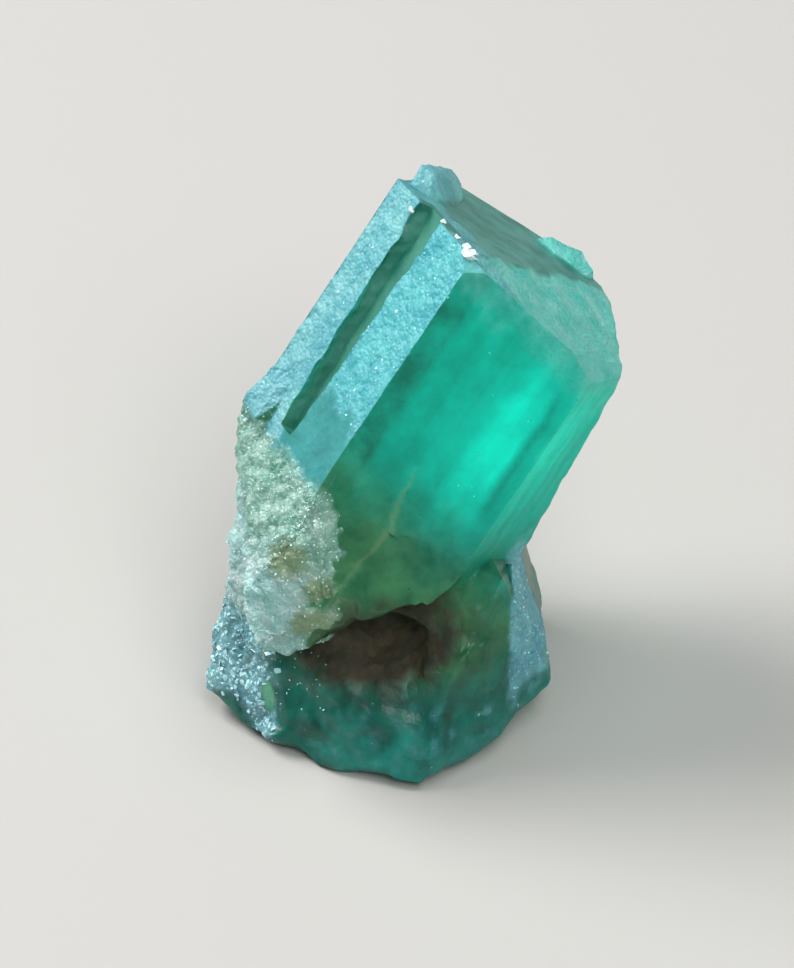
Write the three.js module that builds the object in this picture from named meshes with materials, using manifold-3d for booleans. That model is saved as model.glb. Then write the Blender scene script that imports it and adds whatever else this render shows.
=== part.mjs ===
// A raw emerald crystal: a six-sided prism of beryl that leans out of a broken stump of the same stone.
// It grew as one piece, so it is one solid. Millimetres, +Z up, the large clear prism face towards -Y.

import * as THREE from "three";
import { ConvexGeometry } from "three/addons/geometries/ConvexGeometry.js";
import { ImprovedNoise } from "three/addons/math/ImprovedNoise.js";
import { mergeVertices } from "three/addons/utils/BufferGeometryUtils.js";
import Module from "manifold-3d";

const wasm = await Module();
wasm.setup();

// The prism. Its place is the centre of its end face, measured from the toe at the front of the foot.
const PRISM_SIDE = 6.0;
const PRISM_LENGTH = 16.0;
const PRISM_END = new THREE.Vector3(4.97, 10.65, 15.45);
const PRISM_LEAN_DEG = 38.5;
const PRISM_HEADING_DEG = 29.3;
const PRISM_TURN_DEG = -34.2;

// The growth groove along the left face, and the crusted lump beside it.
const LEFT_FACE_DEG = 210;
const GROOVE_FROM_CORNER = 1.85;
const GROOVE_WIDTH = 1.5;
const GROOVE_DEPTH = 0.55;
const GROOVE_LENGTH = 9.6;
const GROOVE_TAPER = 0.55;
const LUMP_PROUD = 0.4;

// The worn end: how far the fracture falls away to the right, and what still stands above it.
const SHOULDER_SLOPE_DEG = 13;
const SHOULDER_FALL_DEG = 38;
const RIGHT_WEAR = 3.8;
const RIGHT_WEAR_DEG = 9;
const STEP_RISE = 0.77;
const KNOB_RISE = 0.45;

// The grain of the surface: edge lengths and relief of flat faces and of broken stone.
const FACE_EDGE = 2.0;
const BROKEN_EDGE = 0.8;
const FACE_RELIEF = 0.03;
const LARGE_RELIEF = 0.45;
const STONE_RELIEF = 0.14;
const CRUST_RELIEF = 0.34;
const LARGE_LUMP = 2.6;
const SMALL_LUMP = 1.05;

// Down the prism's axis, the faces are whole above the first height and broken below the second.
const FACES_END = -9.8;
const BREAK_START = -12.2;
const FLAT_WITHIN = 0.05;

// The crust covers the left: it thins out to the right between these two distances from the toe.
const CRUST_FULL = -3.6;
const CRUST_END = -1.8;

const CUT_SIZE = 60;
const point = (x, y, z) => new THREE.Vector3(x, y, z);
const radians = THREE.MathUtils.degToRad;

// Solids: a closed geometry becomes one, and a cut takes off all that lies beyond a plane.

function solidOf(geometry) {
  const bare = geometry.clone();
  bare.deleteAttribute("normal");
  bare.deleteAttribute("uv");
  const merged = mergeVertices(bare);
  return new wasm.Manifold(
    new wasm.Mesh({
      numProp: 3,
      vertProperties: merged.attributes.position.array,
      triVerts: new Uint32Array(merged.index.array),
    }),
  );
}

function geometryOf(solid) {
  const mesh = solid.getMesh();
  const geometry = new THREE.BufferGeometry();
  geometry.setAttribute("position", new THREE.BufferAttribute(mesh.vertProperties.slice(), 3));
  geometry.setIndex(new THREE.BufferAttribute(mesh.triVerts.slice(), 1));
  return geometry;
}

const hull = (points) => solidOf(new ConvexGeometry(points));

function cutBeyond(solid, onPlane, outward) {
  const direction = outward.clone().normalize();
  const box = new THREE.BoxGeometry(CUT_SIZE, CUT_SIZE, CUT_SIZE);
  box.translate(0, 0, CUT_SIZE / 2);
  box.applyQuaternion(new THREE.Quaternion().setFromUnitVectors(point(0, 0, 1), direction));
  box.translate(onPlane.x, onPlane.y, onPlane.z);
  return solid.subtract(solidOf(box));
}

// The prism's own frame: +Z along its axis with the end face at 0, -Y out of the large front face.

const prismFrame = new THREE.Matrix4()
  .makeTranslation(PRISM_END)
  .multiply(new THREE.Matrix4().makeRotationZ(radians(PRISM_HEADING_DEG)))
  .multiply(new THREE.Matrix4().makeRotationY(radians(PRISM_LEAN_DEG)))
  .multiply(new THREE.Matrix4().makeRotationZ(radians(PRISM_TURN_DEG)));

// A point of the left face: along it from the left corner, down the axis, and proud of the face.
function onLeftFace(along, height, proud) {
  const outward = radians(LEFT_FACE_DEG);
  return point(
    -PRISM_SIDE + 0.5 * along + proud * Math.cos(outward),
    -Math.sin(radians(60)) * along + proud * Math.sin(outward),
    height,
  );
}

function hexagonalPrism() {
  const prism = new THREE.CylinderGeometry(PRISM_SIDE, PRISM_SIDE, PRISM_LENGTH, 6);
  prism.rotateX(radians(90));
  prism.rotateZ(radians(30));
  prism.translate(0, 0, -PRISM_LENGTH / 2);
  return solidOf(prism);
}

// A trough with sloping sides, open at the end face and pinching out down the face.
function growthGroove() {
  const above = 2;
  const middle = GROOVE_FROM_CORNER + GROOVE_WIDTH / 2;
  const section = (height, share) =>
    [
      [-0.7, 0.3],
      [0.7, 0.3],
      [0.3, -GROOVE_DEPTH],
      [-0.42, -GROOVE_DEPTH],
    ].map(([along, proud]) => onLeftFace(middle + along * GROOVE_WIDTH * share, height, proud));
  return hull([...section(above, 1), ...section(-GROOVE_LENGTH, GROOVE_TAPER)]);
}

// The pale lump at the lower end of the left edge.
function edgeLump() {
  return hull([
    onLeftFace(0.1, -7.3, -0.5),
    onLeftFace(1.7, -7.6, -0.5),
    onLeftFace(1.9, -10.6, -0.5),
    onLeftFace(-0.1, -10.8, -0.5),
    onLeftFace(0.3, -8.3, LUMP_PROUD * 0.7),
    onLeftFace(1.1, -8.8, LUMP_PROUD * 0.5),
    onLeftFace(1.3, -10.1, LUMP_PROUD),
    onLeftFace(0.0, -10.0, LUMP_PROUD),
  ]);
}

// The step that stands above the end face along its back left edge.
function endStep() {
  return hull([
    point(-5.5, 0.1, -0.4),
    point(-4.6, -0.4, -0.4),
    point(-3.5, 0.1, -0.3),
    point(-2.8, 3.1, -0.3),
    point(-3.2, 4.7, -0.4),
    point(-5.45, 0.8, STEP_RISE),
    point(-4.9, 0.6, STEP_RISE * 0.9),
    point(-4.1, 3.0, STEP_RISE),
    point(-3.5, 2.9, STEP_RISE * 0.7),
  ]);
}

// The low knob left on the end face at the back right.
function endKnob() {
  return hull([
    point(-0.4, 3.6, -0.4),
    point(0.2, 5.1, -0.5),
    point(2.6, 5.1, -0.6),
    point(3.4, 3.3, -0.8),
    point(1.6, 1.0, -0.6),
    point(0.7, 4.4, KNOB_RISE * 0.8),
    point(2.0, 4.5, KNOB_RISE),
    point(2.5, 3.4, KNOB_RISE * 0.6),
  ]);
}

// The wear of the end: two falls of the fracture to the right, the right side, and two chipped corners.
function prism() {
  const acrossEnd = point(0.78, -0.63, 0);
  const upTilted = (towards, degrees) =>
    point(0, 0, Math.cos(radians(degrees))).addScaledVector(towards, Math.sin(radians(degrees)));
  const worn = [
    [point(-0.6, -1.4, 0), upTilted(acrossEnd, SHOULDER_SLOPE_DEG)],
    [point(3.6, -3.6, -1.25), upTilted(acrossEnd, SHOULDER_FALL_DEG)],
    [point(RIGHT_WEAR, 0, 0), upTilted(point(1, 0.12, 0), 90 - RIGHT_WEAR_DEG)],
    [point(3.0, 3.2, 0), point(0.75, 0.5, 0.45)],
    [point(-3.05, -4.9, -0.3), point(-0.35, -0.75, 0.6)],
  ];
  let stone = hexagonalPrism().add(edgeLump());
  for (const [onPlane, outward] of worn) stone = cutBeyond(stone, onPlane, outward);
  stone = stone.subtract(growthGroove()).add(endStep()).add(endKnob());
  return solidOf(geometryOf(stone).applyMatrix4(prismFrame));
}

// The break across the prism's lower end runs down towards the back, and the left side is split off upright.
function brokenPrism() {
  const ledge = cutBeyond(prism(), point(3.9, 2.2, 7.8), point(0.36, -0.72, -1));
  return cutBeyond(ledge, point(-5.75, 8, 9), point(-1, 0, -0.13));
}

// The stump that the prism leans out of: a rough six-sided block with a flat foot and a toe at the front.
function stump() {
  const foot = [
    point(0.3, 0.5, -0.4),
    point(2.9, 2.3, -0.4),
    point(4.5, 5.0, -0.4),
    point(4.2, 9.8, -0.4),
    point(0.5, 12.0, -0.4),
    point(-4.6, 11.0, -0.4),
    point(-6.2, 6.4, -0.4),
    point(-4.6, 2.8, -0.4),
    point(-2.0, 0.9, -0.4),
  ];
  const skirt = [
    point(0.6, -0.6, 0.45),
    point(-2.2, -0.05, 0.4),
    point(-5.6, 2.15, 0.5),
    point(-7.0, 3.8, 1.0),
    point(2.6, 0.65, 0.45),
    point(4.0, 2.4, 0.7),
    point(5.6, 3.7, 1.1),
    point(5.3, 9.2, 1.6),
    point(0.6, 12.6, 1.4),
    point(-5.2, 11.6, 1.5),
  ];
  const shoulders = [
    point(1.1, 1.2, 2.7),
    point(-2.5, 1.1, 2.4),
    point(-6.7, 4.4, 3.0),
    point(-6.3, 5.3, 5.4),
    point(5.4, 4.7, 2.7),
    point(4.4, 5.6, 5.6),
    point(4.5, 9.2, 4.6),
    point(0.5, 12.2, 4.0),
    point(-4.9, 11.2, 5.0),
    point(-5.5, 9.2, 8.4),
  ];
  const rim = [
    point(-1.6, 2.7, 5.0),
    point(0.9, 2.6, 5.4),
    point(3.7, 2.9, 7.1),
    point(2.0, 7.0, 8.0),
    point(-3.0, 6.0, 8.0),
  ];
  return hull([...foot, ...skirt, ...shoulders, ...rim]);
}

// The hollow under the ledge, where a piece of the stump has come away.
function hollow() {
  return hull([
    point(-2.7, 0.5, 6.4),
    point(2.4, 0.5, 5.5),
    point(1.5, 0.3, 3.1),
    point(-2.5, 0.3, 3.4),
    point(-1.7, 3.7, 5.7),
    point(0.2, 3.6, 5.0),
    point(-0.6, 3.1, 4.1),
  ]);
}

// The grainy crust on the left, whose lower edge stands out over the stump.
function crust() {
  return hull([
    point(-5.7, 8.2, 10.3),
    point(-5.4, 6.9, 8.6),
    point(-5.9, 6.0, 7.3),
    point(-6.4, 5.0, 5.0),
    point(-6.5, 4.5, 3.5),
    point(-4.6, 2.3, 4.1),
    point(-3.2, 1.5, 4.8),
    point(-2.6, 1.5, 6.9),
    point(-3.1, 2.65, 9.9),
    point(0.0, 6.0, 5.0),
    point(0.0, 6.0, 9.0),
  ]);
}

// The flake that stands up along the right side of the stump.
function sideFlake() {
  return hull([
    point(4.05, 4.0, 6.8),
    point(4.05, 3.3, 6.1),
    point(4.1, 3.1, 4.9),
    point(4.35, 3.1, 3.7),
    point(5.0, 3.8, 2.4),
    point(5.3, 4.7, 2.7),
    point(4.85, 5.0, 4.0),
    point(4.5, 5.3, 5.4),
    point(3.2, 5.2, 6.0),
    point(3.4, 5.0, 2.4),
  ]);
}

// Surface grain. Every long edge is halved until none passes the length allowed where it lies.

function refine(geometry, lengthAt) {
  const corners = [];
  const position = geometry.attributes.position;
  for (const index of geometry.index.array) corners.push(point().fromBufferAttribute(position, index));
  let triangles = [];
  for (let i = 0; i < corners.length; i += 3) triangles.push(corners.slice(i, i + 3));
  const middleOf = (a, b) => {
    const middle = a.clone().add(b).multiplyScalar(0.5);
    return a.distanceTo(b) > lengthAt(middle) ? middle : null;
  };
  for (let changed = true; changed; ) {
    changed = false;
    const next = [];
    for (const [a, b, c] of triangles) {
      const [ab, bc, ca] = [middleOf(a, b), middleOf(b, c), middleOf(c, a)];
      const split = splitTriangle([a, b, c], [ab, bc, ca]);
      changed ||= split.length > 1;
      next.push(...split);
    }
    triangles = next;
  }
  return new THREE.BufferGeometry().setFromPoints(triangles.flat());
}

// A triangle divided at whichever of its three edges has a middle given.
function splitTriangle([a, b, c], [ab, bc, ca]) {
  const count = [ab, bc, ca].filter(Boolean).length;
  if (count === 0) return [[a, b, c]];
  if (count === 3) return [[a, ab, ca], [ab, b, bc], [ca, bc, c], [ab, bc, ca]];
  if (count === 1) {
    if (ab) return [[a, ab, c], [ab, b, c]];
    if (bc) return [[b, bc, a], [bc, c, a]];
    return [[c, ca, b], [ca, a, b]];
  }
  if (!ab) return [[c, ca, bc], [ca, a, bc], [a, b, bc]];
  if (!bc) return [[a, ab, ca], [ab, b, ca], [b, c, ca]];
  return [[b, bc, ab], [bc, c, ab], [c, a, ab]];
}

// How broken the stone is at a place: 0 on the prism's faces, 1 on the stump.
const toPrism = prismFrame.clone().invert();
function brokenness(place) {
  const inPrism = place.clone().applyMatrix4(toPrism);
  return 1 - THREE.MathUtils.smoothstep(inPrism.z, BREAK_START, FACES_END);
}

// How clean the stone is at a place: 0 under the crust, 1 clear of it.
const clean = (place) => THREE.MathUtils.smoothstep(place.x, CRUST_FULL, CRUST_END);

// The large front face stays flat down to its ragged lower edge: 1 on its plane, 0 clear of it.
const frontNormal = point(0, -1, 0).transformDirection(prismFrame);
function frontness(place) {
  const inPrism = place.clone().applyMatrix4(toPrism);
  const fromPlane = Math.abs(inPrism.y + PRISM_SIDE * Math.sin(radians(60)));
  return clean(place) * (1 - THREE.MathUtils.smoothstep(fromPlane, FLAT_WITHIN, 3 * FLAT_WITHIN));
}

// The relief of the small lumps at a place: grainy on the crust, slighter on clean broken stone.
function smallRelief(place) {
  const onBreak = THREE.MathUtils.lerp(CRUST_RELIEF, STONE_RELIEF, clean(place));
  return THREE.MathUtils.lerp(FACE_RELIEF, onBreak, brokenness(place));
}

const noise = new ImprovedNoise();
function lumps(place, size, seed) {
  const at = (shift) => noise.noise(place.x / size + shift, place.y / size + seed, place.z / size - shift);
  return point(at(0.3), at(11.7), at(23.1));
}

function weather(geometry) {
  const position = geometry.attributes.position;
  for (let i = 0; i < position.count; i++) {
    const place = point().fromBufferAttribute(position, i);
    const large = lumps(place, LARGE_LUMP, 4.2).multiplyScalar(LARGE_RELIEF * brokenness(place));
    const small = lumps(place, SMALL_LUMP, 9.6).multiplyScalar(smallRelief(place));
    const moved = large.add(small);
    moved.addScaledVector(frontNormal, -moved.dot(frontNormal) * frontness(place));
    place.add(moved);
    position.setXYZ(i, place.x, place.y, place.z);
  }
  return geometry;
}

// The whole stone, weathered and ground flat where it stands.

function emerald() {
  const whole = brokenPrism().add(stump().subtract(hollow())).add(crust()).add(sideFlake());
  const edgeAt = (place) => THREE.MathUtils.lerp(FACE_EDGE, BROKEN_EDGE, brokenness(place));
  const weathered = solidOf(weather(refine(geometryOf(whole), edgeAt)));
  return geometryOf(cutBeyond(weathered, point(0, 0, 0), point(0, 0, -1)));
}

const geometry = emerald();
geometry.computeBoundingBox();
const middle = geometry.boundingBox.getCenter(point());
geometry.computeVertexNormals();

const stone = new THREE.Mesh(
  geometry,
  new THREE.MeshStandardMaterial({ color: 0x1f9c7f, roughness: 0.35, metalness: 0, flatShading: true }),
);
stone.name = "emerald_crystal";
stone.position.set(-middle.x, -middle.y, 0);

const group = new THREE.Group();
group.add(stone);

export default group;
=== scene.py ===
# %% [markdown]
# # A raw emerald crystal
# The stone is one piece of beryl: a six-sided prism that leans out of a rough stump. Its front face is
# clear, its left face is frosted and grooved, its end is worn, and grainy crust covers the lower left.
# The solid model gives the form. This lesson copies it, makes its surface fine, and gives each part its
# finish, so that no shape has to be modelled twice.

# %% Load the solid model
import math

import bmesh
import bpy
import numpy as np
from mathutils import Matrix, Vector, noise


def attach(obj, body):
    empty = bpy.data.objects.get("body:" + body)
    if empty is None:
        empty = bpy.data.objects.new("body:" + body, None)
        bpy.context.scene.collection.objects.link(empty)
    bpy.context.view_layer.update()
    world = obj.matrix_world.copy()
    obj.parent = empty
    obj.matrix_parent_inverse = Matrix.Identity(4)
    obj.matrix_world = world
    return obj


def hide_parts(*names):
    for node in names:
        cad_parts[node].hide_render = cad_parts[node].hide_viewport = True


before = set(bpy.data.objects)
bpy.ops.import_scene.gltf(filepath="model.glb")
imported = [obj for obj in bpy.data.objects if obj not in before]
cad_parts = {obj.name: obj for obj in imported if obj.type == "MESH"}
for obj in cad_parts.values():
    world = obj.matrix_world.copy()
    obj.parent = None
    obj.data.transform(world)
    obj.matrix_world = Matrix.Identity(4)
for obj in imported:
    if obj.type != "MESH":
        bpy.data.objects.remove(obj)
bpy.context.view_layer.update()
scene = bpy.context.scene
MM = 0.001

# %% [markdown]
# Two frames make the places easy to name. The first starts at the toe, the lowest point at the front of
# the foot, in millimetres. The second belongs to the prism: +Z runs up its axis and is 0 at the end face,
# and -Y points out of the clear front face. With it, "on the left face" is a plain test on three numbers.

# %% Frames of the toe and of the prism
TOE = Vector((-0.395, -7.696, 0.0))
PRISM_END = Vector((4.97, 10.65, 15.45))
PRISM_LEAN = math.radians(38.5)
PRISM_HEADING = math.radians(29.3)
PRISM_TURN = math.radians(-34.2)
PRISM_SIDE = 6.0
SIXTH_TURN = math.radians(60)
PRISM_HALF = PRISM_SIDE * math.sin(SIXTH_TURN)
FRONT_FACE = -90
LEFT_FACE = 210
RIGHT_FACE = -30
WORN_WAY = (0.78, -0.63)

prism_frame = (
    Matrix.Translation(PRISM_END)
    @ Matrix.Rotation(PRISM_HEADING, 4, "Z")
    @ Matrix.Rotation(PRISM_LEAN, 4, "Y")
    @ Matrix.Rotation(PRISM_TURN, 4, "Z")
)
to_prism = np.array(prism_frame.inverted())


def from_toe(places):
    """Places in metres, as millimetres from the toe."""
    return np.asarray(places, float) / MM - np.array(TOE)


def in_prism_frame(places):
    """Millimetres from the toe, as millimetres in the prism's own frame."""
    return places @ to_prism[:3, :3].T + to_prism[:3, 3]


def beyond_face(in_prism, degrees):
    """How far places stand out of the prism face whose outward direction is at that angle."""
    turn = math.radians(degrees)
    return in_prism[:, 0] * math.cos(turn) + in_prism[:, 1] * math.sin(turn) - PRISM_HALF


def across_end_face(in_prism):
    """How far places lie towards the worn side of the end face."""
    return in_prism[:, 0] * WORN_WAY[0] + in_prism[:, 1] * WORN_WAY[1]


def ramp(values, start, end):
    """0 before start, 1 after end, smooth between. The two may run either way."""
    share = np.clip((values - start) / (end - start), 0, 1)
    return share * share * (3 - 2 * share)


print("the prism's axis points along", [round(x, 2) for x in prism_frame.col[2][:3]])

# %% [markdown]
# The camera stands in front of the clear face and looks down at the stone. A wide lens close by would
# spread the prism's edges apart. A long lens from a little way off keeps them nearly parallel.

# %% Camera
AIM = (TOE + Vector((-0.11, 5.77, 9.15))) * MM
CAMERA_ELEVATION = math.radians(38)
CAMERA_DISTANCE = 160 * MM
CAMERA_LENS = 163.6
SENSOR_WIDTH = 36
CLIP_START = 10 * MM

camera_data = bpy.data.cameras.new("camera")
camera_data.lens = CAMERA_LENS
camera_data.sensor_width = SENSOR_WIDTH
camera_data.clip_start = CLIP_START
camera = bpy.data.objects.new("camera", camera_data)
towards_camera = Vector((0, -math.cos(CAMERA_ELEVATION), math.sin(CAMERA_ELEVATION)))
camera.location = AIM + towards_camera * CAMERA_DISTANCE
camera.rotation_euler = (-towards_camera).to_track_quat("-Z", "Y").to_euler()
scene.collection.objects.link(camera)
scene.camera = camera
print("the camera is", round(CAMERA_DISTANCE / MM), "mm from the stone")

# %% [markdown]
# A clear face can stay coarse, but frost, crust and broken stone need small faces to carry their grain. So
# every place has a longest edge that it may have. Heights are measured along the prism, down from its end.

# %% Longest edge for each place
CLEAR_EDGE = 0.42
VEIN_EDGE = 0.14
WORN_EDGE = 0.22
BROKEN_EDGE = 0.25
GRAINY_EDGE = 0.15
HIDDEN_EDGE = 0.32
BROKEN_BELOW = -9.5
HIDDEN_BEHIND = 7.5
END_DEPTH = -3.4
END_WORN_FROM = -3.5
RIGHT_SKIN = -1.5
FRONT_SKIN = 0.3
LEFT_SKIN = -0.75
FACES_FOOT = -11
VEIN_TOP = -7.2
VEIN_ACROSS = -0.2
VEIN_REACH = 0.7
GRAIN_RIGHT = -1.3
GRAIN_BACK = 8.5
GRAIN_FOOT = 0.5
SOLE = 0.02


def edge_allowed(places):
    """The longest edge that each place may have, in millimetres."""
    in_prism = in_prism_frame(places)
    height = in_prism[:, 2]
    broken = height < BROKEN_BELOW
    allowed = np.full(len(places), CLEAR_EDGE)
    allowed[broken] = BROKEN_EDGE
    allowed[broken & (places[:, 1] > HIDDEN_BEHIND)] = HIDDEN_EDGE
    allowed[(height > END_DEPTH) & (across_end_face(in_prism) > END_WORN_FROM)] = WORN_EDGE
    allowed[(beyond_face(in_prism, RIGHT_FACE) > RIGHT_SKIN) & (height > FACES_FOOT)] = WORN_EDGE
    on_front = np.abs(beyond_face(in_prism, FRONT_FACE)) < FRONT_SKIN
    by_vein = np.abs(in_prism[:, 0] - VEIN_ACROSS) < VEIN_REACH
    allowed[on_front & (height < VEIN_TOP) & by_vein] = VEIN_EDGE
    grainy = (beyond_face(in_prism, LEFT_FACE) > LEFT_SKIN) & (height > FACES_FOOT)
    low_left = (places[:, 0] < GRAIN_RIGHT) & (places[:, 1] < GRAIN_BACK) & (places[:, 2] > GRAIN_FOOT)
    allowed[grainy | (broken & low_left)] = GRAINY_EDGE
    allowed[places[:, 2] < SOLE] = CLEAR_EDGE
    return allowed


print("edges run from", VEIN_EDGE, "to", CLEAR_EDGE, "mm")

# %% [markdown]
# A voxel remesh would make the whole stone equally fine and blunt its edges. Halving only the edges that
# are too long for their place keeps the prism's edges sharp and puts the faces where they are needed.

# %% Copy the solid and refine its skin
REFINE_ROUNDS = 5
MERGE_DISTANCE = 0.001 * MM


def refine(skin):
    """Halves the edges that are too long for their place, round by round."""
    for _ in range(REFINE_ROUNDS):
        ends = np.array([edge.verts[0].co[:] + edge.verts[1].co[:] for edge in skin.edges])
        length = np.linalg.norm(ends[:, :3] - ends[:, 3:], axis=1) / MM
        too_long = length > edge_allowed(from_toe((ends[:, :3] + ends[:, 3:]) / 2))
        long_edges = [edge for edge, long in zip(skin.edges, too_long) if long]
        bmesh.ops.subdivide_edges(skin, edges=long_edges, cuts=1, use_single_edge=True)
        bmesh.ops.triangulate(skin, faces=skin.faces, quad_method="BEAUTY")
        print("halved", len(long_edges), "edges")


stone = bpy.data.objects.new("emerald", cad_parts["emerald_crystal"].data.copy())
scene.collection.objects.link(stone)
skin = bmesh.new()
skin.from_mesh(stone.data)
bmesh.ops.remove_doubles(skin, verts=skin.verts, dist=MERGE_DISTANCE)
refine(skin)
print("the stone's skin has", len(skin.faces), "triangles")

# %% [markdown]
# The solid's broken parts are flat triangles. A few rounds of smoothing on those parts alone turn them
# into the soft curved hollows of broken stone, while the crystal faces stay flat.

# %% Smooth the broken stone
SMOOTH_ROUNDS = 6
SMOOTH_FACTOR = 0.5
BROKEN_TOP = (-9.9, -10.6)
SMOOTH_ABOVE_SOLE = (0.05, 0.3)
FLAT_FRONT = 0.12

skin_places = from_toe([vert.co[:] for vert in skin.verts])
skin_in_prism = in_prism_frame(skin_places)
smoothed = ramp(skin_in_prism[:, 2], *BROKEN_TOP) * ramp(skin_places[:, 2], *SMOOTH_ABOVE_SOLE)
flat = np.abs(beyond_face(skin_in_prism, FRONT_FACE)) < FLAT_FRONT
wanted = (smoothed > 0.5) & ~flat
to_smooth = [vert for vert, chosen in zip(skin.verts, wanted) if chosen]
all_ways = {"use_axis_x": True, "use_axis_y": True, "use_axis_z": True}
for _ in range(SMOOTH_ROUNDS):
    bmesh.ops.smooth_vert(skin, verts=to_smooth, factor=SMOOTH_FACTOR, **all_ways)
skin.normal_update()
skin.to_mesh(stone.data)
skin.free()
print("smoothed", len(to_smooth), "points")

# %% [markdown]
# Each finish covers a part of the stone. A mask is a number from 0 to 1 at every point that says how much
# of that finish is there. It could be painted by hand, but the two frames give it more exactly. Real
# finishes have no ruled borders, so noise of three sizes pushes most of the borders in and out.

# %% Points, noise and borders
FAINT = 0.001

mesh = stone.data
count = len(mesh.vertices)
places = np.empty(count * 3)
mesh.vertices.foreach_get("co", places)
places = from_toe(places.reshape(-1, 3))
normals = np.empty(count * 3)
mesh.vertex_normals.foreach_get("vector", normals)
normals = normals.reshape(-1, 3)
in_prism = in_prism_frame(places)
prism_normals = normals @ to_prism[:3, :3].T


def at_points(pattern, size, seed, where):
    """The values of a noise pattern, or 0 where a mask is too faint to show."""
    chosen = where > FAINT
    values = np.zeros(count)
    shift = Vector((seed, seed, seed))
    values[chosen] = [pattern(Vector(place) / size + shift) for place in places[chosen]]
    return values


def lumps(size, seed, where=np.ones(count)):
    """Perlin noise from -1 to 1."""
    return at_points(noise.noise, size, seed, where)


def granules(size, seed, where):
    """Rounded grains from 0 to 1, high in the middle of each Voronoi cell."""
    return at_points(lambda place: 1 - noise.voronoi(place)[0][0], size, seed, where)


X, Y, Z = places.T
ACROSS, DEEP, HEIGHT = in_prism.T
coarse_rag = lumps(0.9, 3.1)
fine_rag = lumps(0.3, 7.7)
ragged = 0.6 * coarse_rag + 0.4 * fine_rag
wander = lumps(2.2, 27.0) + 0.4 * ragged


def border(values, bounds, rag=0.0, by=ragged):
    """A ramp between two bounds, which noise pushes in and out by rag millimetres."""
    return ramp(values + rag * by, *bounds)


def facing(degrees):
    """How squarely the points face the way that a prism face does."""
    turn = math.radians(degrees)
    return prism_normals @ np.array((math.cos(turn), math.sin(turn), 0))


def from_place(middle, reach):
    """The distance of the points from a place, counted in its reach."""
    return np.linalg.norm((places - np.array(middle)) / np.array(reach), axis=1)


print("the masks are worked out at", count, "points")

# %% [markdown]
# The left face is frosted with fine crystals and has a straight growth groove along it. Near its foot, the
# strip at the front of the face is smooth. The groove could be marked by its outline, but it lies below the
# face, so the distance from the face shows where it is.

# %% Masks of the left face
LEFT_DEPTH = (-0.95, -0.7)
LEFT_FOOT = (-11.3, -10.3)
LEFT_FACING = (0.58, 0.8)
GROOVE_DEPTH = (-0.06, -0.2)
GROOVE_BACK = (1.3, 1.5)
GROOVE_FRONT = (4.0, 3.8)
FRONT_STRIP = (2.4, 2.7)
FROST_FOOT = (-7.9, -7.1)
SMOOTH_SHARE = 0.85

beyond_left = beyond_face(in_prism, LEFT_FACE)
along_left = math.cos(SIXTH_TURN) * (ACROSS + PRISM_SIDE) - math.sin(SIXTH_TURN) * DEEP
near_left = border(beyond_left, LEFT_DEPTH) * border(HEIGHT, LEFT_FOOT, 0.5)
on_left = near_left * border(facing(LEFT_FACE), LEFT_FACING)
groove = near_left * border(beyond_left, GROOVE_DEPTH, 0.1, fine_rag)
groove *= border(along_left, GROOVE_BACK) * border(along_left, GROOVE_FRONT)
front_strip = border(along_left, FRONT_STRIP)
strip_end = border(HEIGHT + 0.9 * coarse_rag, FROST_FOOT, 0.25, fine_rag)
frosted_left = on_left * (1 - groove) * (1 - SMOOTH_SHARE * front_strip * (1 - strip_end))
print("frost covers", round(100 * float(frosted_left.mean()), 1), "% of the points")

# %% [markdown]
# The prism's end is partly a dull flat face and partly worn away, with a raised step on its left and a knob
# at the back. Both stand above the end face, so their height and their side of the axis mark them.

# %% Masks of the end
END_FACING = (0.55, 0.75)
END_FOOT = (-3.6, -3.0)
WORN_BORDER = (0.1, 0.7)
END_RIM = (-1.9, -1.3)
STEP_RISE = (0.08, 0.2)
STEP_SIDE = (-2.2, -2.6)
KNOB_RISE = (0.03, 0.1)
KNOB_BACK = (2.2, 3.0)
KNOB_SIDE = (-1.0, -0.4)

across_end = across_end_face(in_prism)
on_end = border(prism_normals[:, 2], END_FACING) * border(HEIGHT, END_FOOT)
worn_share = border(across_end, WORN_BORDER, 0.6)
end_rim = on_end * border(beyond_left, END_RIM, 0.6) * (1 - groove)
raised_step = border(HEIGHT, STEP_RISE) * border(ACROSS, STEP_SIDE)
raised_knob = border(HEIGHT, KNOB_RISE) * border(DEEP, KNOB_BACK) * border(ACROSS, KNOB_SIDE)
print("the end covers", round(100 * float(on_end.mean()), 1), "% of the points")

# %% [markdown]
# The front face is the clear one, and the right face is satin. Position alone would let the right face's
# finish run round the edge, so the direction of the surface is tested too. Wear from the end reaches a
# little way down both, and a pale vein runs up the foot of the front.

# %% Masks of the clear faces
FRONT_DEPTH = (0.35, 0.2)
FRONT_FACING = (0.6, 0.8)
RIGHT_FACING = (0.62, 0.75)
RIGHT_FOOT = (-12.0, -10.5)
RIGHT_EDGE = (0.01, 0.08)
SIDE_FACING = (0.5, 0.3)
WEAR_REACH = (-2.2, 0.4)
WEAR_SHARE = 0.8
VEIN_HEIGHTS = (-13.4, -10.0, -7.8)
VEIN_PLACES = (-0.4, 0.0, -0.4)
VEIN_WIDTH = (0.16, 0.02)
VEIN_FADE = (-7.3, -8.4)
VEIN_SHARE = 0.4

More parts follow.
